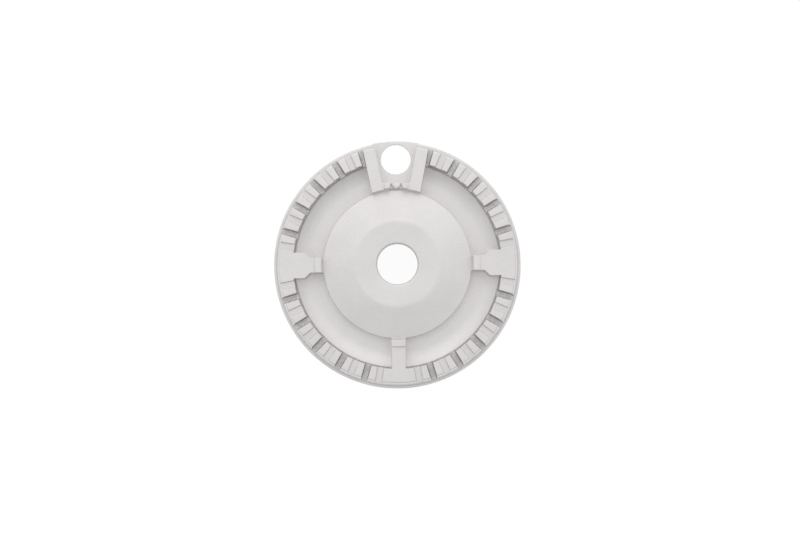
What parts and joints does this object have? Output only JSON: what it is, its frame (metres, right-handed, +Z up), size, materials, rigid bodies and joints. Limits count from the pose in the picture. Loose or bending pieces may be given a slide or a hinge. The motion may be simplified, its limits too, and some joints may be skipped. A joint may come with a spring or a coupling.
{
  "type": "gas burner crown",
  "caption": "Round cast burner crown: a slotted port ring and open gas channel round a dished disc with a centre hole, and a walled pocket for the spark electrode.",
  "frame": {"origin": "on the axis of the centre hole, in the plane of the skirt's lower edge", "axes": "+Z up along the axis, from the skirt to the port ring; +Y towards the electrode pocket"},
  "size_m": [0.072, 0.0722, 0.0129],
  "materials": {
    "cast_aluminium": "matt, fine-grained as cast"
  },
  "bodies": {
    "root": {"burner_crown": "cast_aluminium"}
  },
  "joints": []
}
